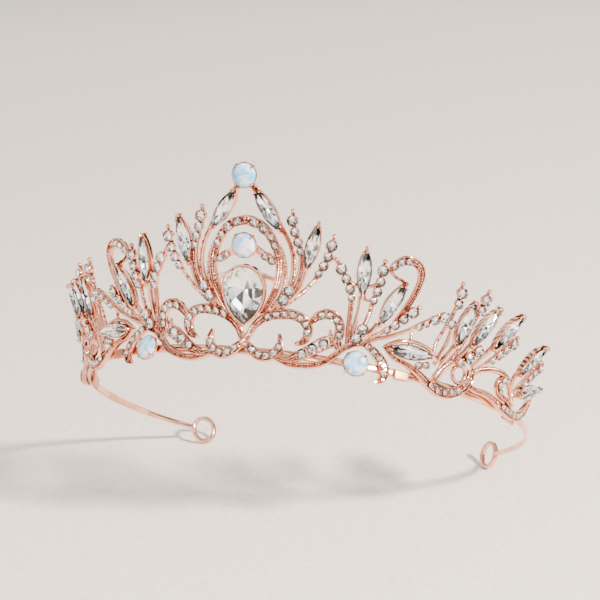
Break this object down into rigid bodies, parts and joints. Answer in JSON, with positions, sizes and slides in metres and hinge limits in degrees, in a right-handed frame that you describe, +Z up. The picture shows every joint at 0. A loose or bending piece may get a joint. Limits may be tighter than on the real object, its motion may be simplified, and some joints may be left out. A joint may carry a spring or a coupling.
{
  "type": "bridal tiara",
  "caption": "Flared bridal tiara of cast rose-gold filigree set with navette, pear and round crystals and opal cabochons, on a flat wire headband that ends in ring eyes",
  "frame": {"origin": "On the surface that the tiara stands on, below the centre of the headband's circle", "axes": "+Z up, the front of the crown faces -Y, +X to the right as seen from the front, and the tiara is the same on both sides of the YZ plane"},
  "size_m": [0.1564, 0.1487, 0.0536],
  "materials": {
    "rose_plate": "polished rose-gold plating",
    "crystal": "cut and foiled",
    "opal": "polished milky opal"
  },
  "bodies": {
    "root": {"headband": "rose_plate", "eye_left": "rose_plate", "eye_right": "rose_plate", "pad_mid_left": "rose_plate", "pad_mid_right": "rose_plate", "pad_end_left": "rose_plate", "pad_end_right": "rose_plate", "centre_casting": "rose_plate", "side_casting_left": "rose_plate", "side_casting_right": "rose_plate", "outer_casting_left": "rose_plate", "outer_casting_right": "rose_plate", "end_casting_left": "rose_plate", "end_casting_right": "rose_plate", "pear_cup": "rose_plate", "cup_apex": "rose_plate", "cup_centre": "rose_plate", "cup_left": "rose_plate", "cup_right": "rose_plate", "pear_crystal": "crystal", "opal_apex": "opal", "opal_centre": "opal", "opal_left": "opal", "opal_right": "opal", "navette_apex_left": "crystal", "navette_apex_right": "crystal", "navette_crest_left": "crystal", "navette_crest_right": "crystal", "navette_fan_left": "crystal", "navette_fan_right": "crystal", "navette_crook_left": "crystal", "navette_crook_right": "crystal", "navette_lying_left": "crystal", "navette_lying_right": "crystal", "navette_outer_1_left": "crystal", "navette_outer_1_right": "crystal", "navette_outer_2_left": "crystal", "navette_outer_2_right": "crystal", "navette_outer_3_left": "crystal", "navette_outer_3_right": "crystal", "navette_end_upper_left": "crystal", "navette_end_upper_right": "crystal", "navette_end_lower_left": "crystal", "navette_end_lower_right": "crystal", "rounds_centre": "crystal", "rounds_side_left": "crystal", "rounds_side_right": "crystal", "rounds_outer_left": "crystal", "rounds_outer_right": "crystal", "rounds_end_left": "crystal", "rounds_end_right": "crystal"}
  },
  "joints": []
}
